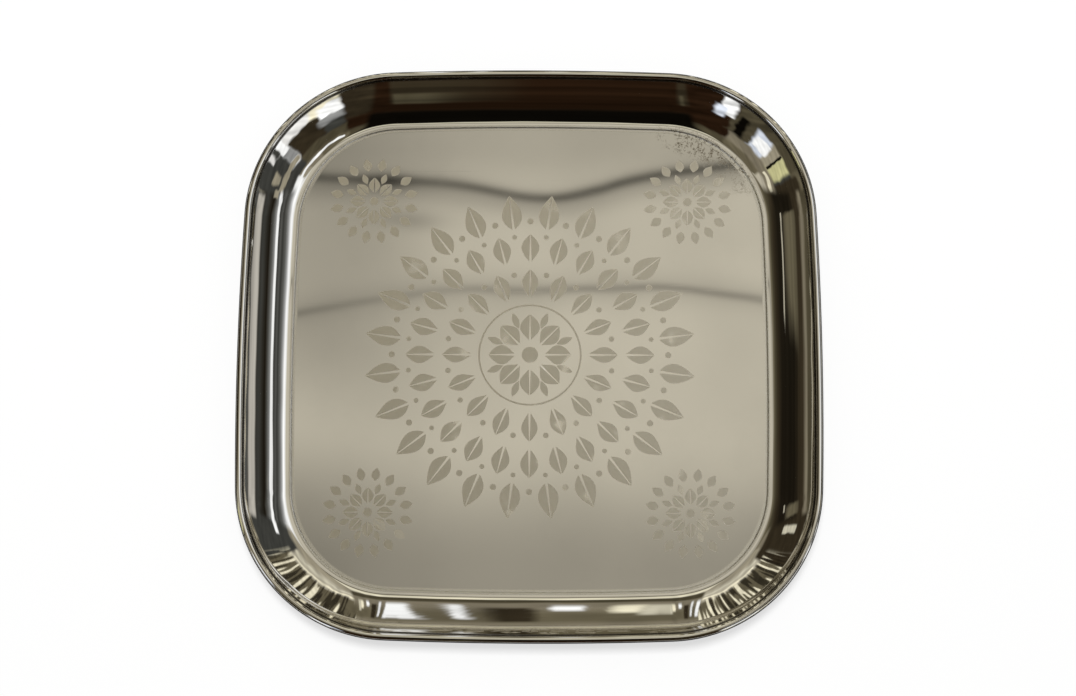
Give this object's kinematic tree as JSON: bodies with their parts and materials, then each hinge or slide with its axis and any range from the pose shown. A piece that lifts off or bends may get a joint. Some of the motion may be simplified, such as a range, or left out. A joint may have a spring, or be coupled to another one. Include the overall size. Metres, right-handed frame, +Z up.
{
  "type": "square steel plate",
  "caption": "Square dinner plate of polished steel with round corners, a flat floor, a curved flaring wall and a rolled rim.",
  "frame": {"origin": "middle of the flat underside that the plate rests on", "axes": "+Z up out of the dish, square to the floor; +X and +Y square to the sides"},
  "size_m": [0.305, 0.305, 0.018],
  "materials": {
    "polished_steel": "mirror-polished stainless steel with a matt etched ornament on the floor",
    "wire_steel": "plain drawn wire, hidden inside the rolled rim"
  },
  "bodies": {
    "root": {"pressed_plate": "polished_steel", "rim_wire": "wire_steel"}
  },
  "joints": []
}
